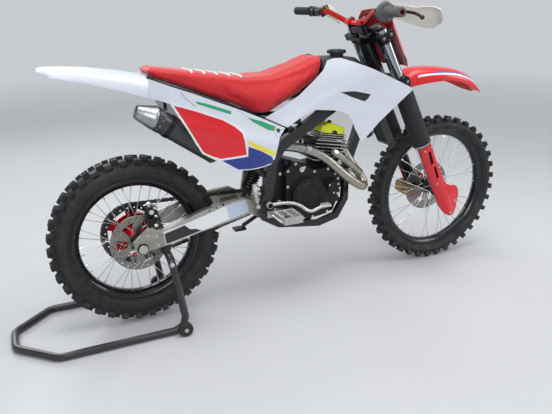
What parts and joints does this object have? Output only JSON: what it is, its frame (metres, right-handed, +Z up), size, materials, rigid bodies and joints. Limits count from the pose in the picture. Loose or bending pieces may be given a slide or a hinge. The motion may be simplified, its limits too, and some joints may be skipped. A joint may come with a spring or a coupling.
{
  "type": "off-road motorcycle on a paddock stand",
  "caption": "Off-road motorcycle with spoked wheels, block tyres, raked fork, open engine and plastic covers, held upright by a tubular paddock stand.",
  "frame": {"origin": "on the floor, in the middle of the overall length and width", "axes": "+X forward, +Y to the rider's left, +Z up"},
  "size_m": [2.273, 0.84, 1.1936],
  "materials": {
    "frame": "semi-gloss black",
    "engine": "black coated casting",
    "fins": "black casting with bright fin edges",
    "cam": "bright yellow coated casting",
    "black": "matt black",
    "header": "satin steel",
    "silencer": "black with a silver tail",
    "saddle": "red cover",
    "white": "glossy white",
    "alloy": "satin alloy",
    "chainsteel": "oiled dark steel",
    "steel": "plated",
    "tyre": "matt rubber with blocks",
    "rim": "black anodised",
    "spoke": "polished",
    "hub_red": "red anodised",
    "disc": "brushed",
    "sprocket": "dark steel",
    "rubber": "matt",
    "red": "glossy red",
    "bar": "red anodised",
    "hub_black": "black anodised"
  },
  "bodies": {
    "chassis": {"main_frame": "frame", "subframe": "frame", "crankcase": "engine", "engine_covers": "engine", "cylinder": "fins", "head_cover": "cam", "airbox": "black", "exhaust_header": "header", "muffler": "silencer", "fuel_tank": "black", "fuel_cap": "black", "seat": "saddle", "rear_fender": "white", "side_panels": "white", "shrouds": "white", "swingarm": "alloy", "shock_absorber": "alloy", "chain": "chainsteel", "footpegs": "steel", "foot_levers": "alloy", "rear_axle": "steel", "rear_caliper": "alloy", "paddock_stand": "frame"},
    "rear_wheel": {"rear_tyre": "tyre", "rear_rim": "rim", "rear_spokes": "spoke", "rear_hub": "hub_red", "rear_disc": "disc", "rear_sprocket": "sprocket"},
    "steering": {"fork_clamps": "frame", "fork_tubes": "steel", "fork_gaiters": "rubber", "fork_lowers": "red", "fork_guards": "red", "handlebar": "bar", "grips": "rubber", "bar_controls": "black", "handguards": "white", "number_plate": "red", "front_fender": "red", "front_axle": "steel", "front_caliper": "alloy"},
    "front_wheel": {"front_tyre": "tyre", "front_rim": "rim", "front_spokes": "spoke", "front_hub": "hub_black", "front_disc": "disc"},
    "side_stand": {"side_stand": "alloy"},
    "roller_left": {"stand_roller_left": "rubber"},
    "roller_right": {"stand_roller_right": "rubber"}
  },
  "joints": [
    {"name": "steering_turn", "type": "hinge", "parent": "chassis", "child": "steering", "pos_m": [0.73761, 0, 0.31986], "axis": [-0.4431, 0, 0.8965], "range_deg": [-42, 42]},
    {"name": "front_wheel_spin", "type": "hinge", "parent": "steering", "child": "front_wheel", "pos_m": [0.7905, 0, 0.346], "axis": [0, 1, 0], "continuous": true},
    {"name": "rear_wheel_spin", "type": "hinge", "parent": "chassis", "child": "rear_wheel", "pos_m": [-0.6365, 0, 0.34], "axis": [0, 1, 0], "continuous": true},
    {"name": "side_stand_swing", "type": "hinge", "parent": "chassis", "child": "side_stand", "pos_m": [0.1085, 0.1265, 0.398], "axis": [0, -1, 0], "range_deg": [0, 72]},
    {"name": "roller_left_spin", "type": "hinge", "parent": "chassis", "child": "roller_left", "pos_m": [-0.5245, 0.224, 0.028], "axis": [0, 1, 0], "continuous": true},
    {"name": "roller_right_spin", "type": "hinge", "parent": "chassis", "child": "roller_right", "pos_m": [-0.5245, -0.224, 0.028], "axis": [0, 1, 0], "continuous": true}
  ]
}
